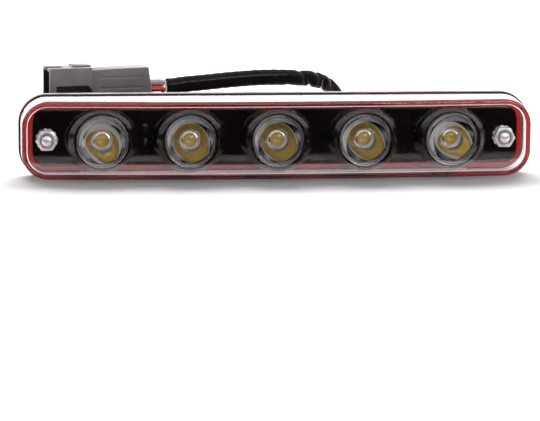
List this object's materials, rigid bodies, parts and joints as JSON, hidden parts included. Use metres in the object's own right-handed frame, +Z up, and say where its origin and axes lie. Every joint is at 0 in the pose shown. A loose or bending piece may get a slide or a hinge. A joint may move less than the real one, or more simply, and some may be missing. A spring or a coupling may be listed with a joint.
{
  "type": "daytime running light",
  "caption": "Slim car daytime running light: bowed clear cover over a black mask with a row of round LED optics, red tray, finned back, mounting studs and a short lead with connector.",
  "frame": {"origin": "centre of the underside of the lamp, taken without the lead and its connector", "axes": "+Z up, +X along the lamp, light shines along -Y"},
  "size_m": [0.1882, 0.0637, 0.0394],
  "materials": {
    "clear_cover": "clear moulded polycarbonate, polished, with bright rounded edges",
    "red_plastic": "deep red moulded plastic seen through the cover",
    "mask_gloss": "black moulded plastic with a polished face",
    "housing_plastic": "black moulded plastic, satin, with a glossy flange edge",
    "seal_rubber": "black sealing cord",
    "board_white": "white solder mask on an aluminium board",
    "sink_aluminium": "extruded aluminium with saw marks on the fin ends",
    "holder_silver": "vacuum metallised plastic cup",
    "optic_clear": "clear moulded optical plastic",
    "led_ceramic": "white ceramic package",
    "led_phosphor": "yellow phosphor under a silicone dome",
    "zinc_steel": "zinc plated steel, bright, with fine turning marks",
    "driver_green": "green solder mask with fine tracks",
    "coil_copper": "varnished copper winding",
    "chip_black": "black moulded package",
    "grommet_rubber": "black moulded rubber",
    "sheath_vinyl": "black vinyl sheath, satin, slightly wrinkled",
    "wire_red": "red wire insulation",
    "wire_black": "black wire insulation",
    "wire_white": "white wire insulation",
    "connector_grey": "black moulded connector plastic, slightly shiny",
    "terminal_brass": "stamped brass blade",
    "wire_seal_rubber": "dark grey silicone wire seal"
  },
  "bodies": {
    "root": {"lens_cover": "clear_cover", "red_tray": "red_plastic", "black_mask": "mask_gloss", "rear_housing": "housing_plastic", "lens_seal": "seal_rubber", "circuit_board": "board_white", "heat_sink": "sink_aluminium", "board_screws": "zinc_steel", "driver_board": "driver_green", "driver_coil": "coil_copper", "driver_chip": "chip_black", "mounting_stud_left": "zinc_steel", "mounting_stud_right": "zinc_steel", "nut_left": "zinc_steel", "nut_right": "zinc_steel", "lock_washer_left": "zinc_steel", "lock_washer_right": "zinc_steel", "cable_grommet": "grommet_rubber", "cable_sheath": "sheath_vinyl", "wire_red": "wire_red", "wire_black": "wire_black", "wire_white": "wire_white", "connector_shell": "connector_grey", "connector_body": "connector_grey", "connector_terminals": "terminal_brass", "connector_wire_seal": "wire_seal_rubber", "optic_1": "optic_clear", "optic_holder_1": "holder_silver", "led_package_1": "led_ceramic", "led_dome_1": "led_phosphor", "optic_2": "optic_clear", "optic_holder_2": "holder_silver", "led_package_2": "led_ceramic", "led_dome_2": "led_phosphor", "optic_3": "optic_clear", "optic_holder_3": "holder_silver", "led_package_3": "led_ceramic", "led_dome_3": "led_phosphor", "optic_4": "optic_clear", "optic_holder_4": "holder_silver", "led_package_4": "led_ceramic", "led_dome_4": "led_phosphor", "optic_5": "optic_clear", "optic_holder_5": "holder_silver", "led_package_5": "led_ceramic", "led_dome_5": "led_phosphor"}
  },
  "joints": []
}
